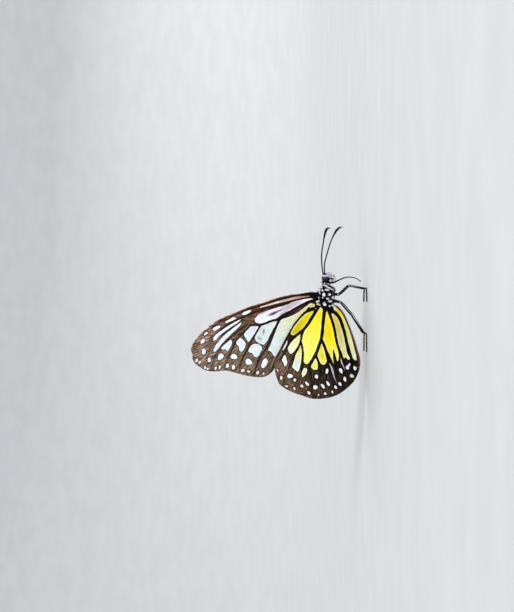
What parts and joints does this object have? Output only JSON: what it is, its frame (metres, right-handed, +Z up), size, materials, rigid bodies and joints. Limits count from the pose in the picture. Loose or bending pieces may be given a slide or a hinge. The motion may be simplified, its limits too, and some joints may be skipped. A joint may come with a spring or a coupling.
{
  "type": "yellow glassy tiger butterfly model",
  "caption": "Life-size still model of a glassy tiger butterfly, standing with its patterned wings closed over its back.",
  "frame": {"origin": "on the floor under the middle of the whole butterfly", "axes": "+X forward towards the head, +Z up from the floor, +Y to the butterfly's left"},
  "size_m": [0.0513, 0.0176, 0.0519],
  "materials": {
    "body": "black furred body with white dots",
    "limb": "black horny limbs lined with white scales",
    "eye": "glossy dark compound eye",
    "forewing": "brown scaled wing with pale blue-white panes",
    "hindwing": "yellow panes between black veins with a brown dotted margin"
  },
  "bodies": {
    "root": {"thorax": "body", "collar": "body", "abdomen": "body", "head": "body", "eye_right": "eye", "eye_left": "eye", "palp_right": "body", "palp_left": "body", "antenna_right": "limb", "antenna_left": "limb", "proboscis": "limb", "foreleg_right": "limb", "foreleg_left": "limb", "midleg_right": "limb", "midleg_left": "limb", "hindleg_right": "limb", "hindleg_left": "limb", "forewing_right": "forewing", "forewing_left": "forewing", "hindwing_right": "hindwing", "hindwing_left": "hindwing"}
  },
  "joints": []
}
